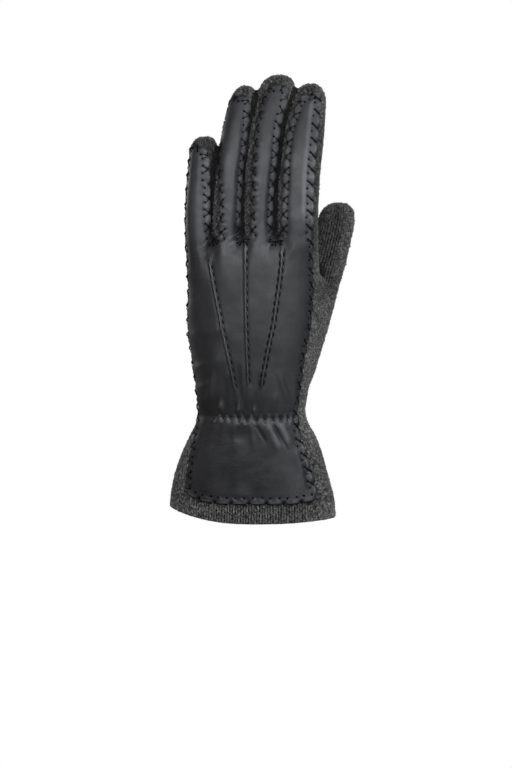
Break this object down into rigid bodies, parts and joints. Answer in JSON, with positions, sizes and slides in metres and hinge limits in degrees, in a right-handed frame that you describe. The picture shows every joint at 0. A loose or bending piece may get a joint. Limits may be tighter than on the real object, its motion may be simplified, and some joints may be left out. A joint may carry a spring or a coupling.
{
  "type": "angora glove",
  "caption": "Dress glove for the left hand: dark knitted wool glove with a black leather back, three raised points, a gathered wrist and a flared cuff.",
  "frame": {"origin": "centre of the wrist opening inside the glove, level with the gathered line", "axes": "+Z towards the fingertips, +X towards the thumb side, -Y out of the back of the hand"},
  "size_m": [0.0978, 0.0581, 0.2435],
  "materials": {
    "leather": "satin",
    "knit": "matte"
  },
  "bodies": {
    "root": {"leather_back": "leather", "knit_hand": "knit", "knit_thumb": "knit", "knit_little_finger": "knit", "knit_ring_finger": "knit", "knit_middle_finger": "knit", "knit_index_finger": "knit"}
  },
  "joints": []
}
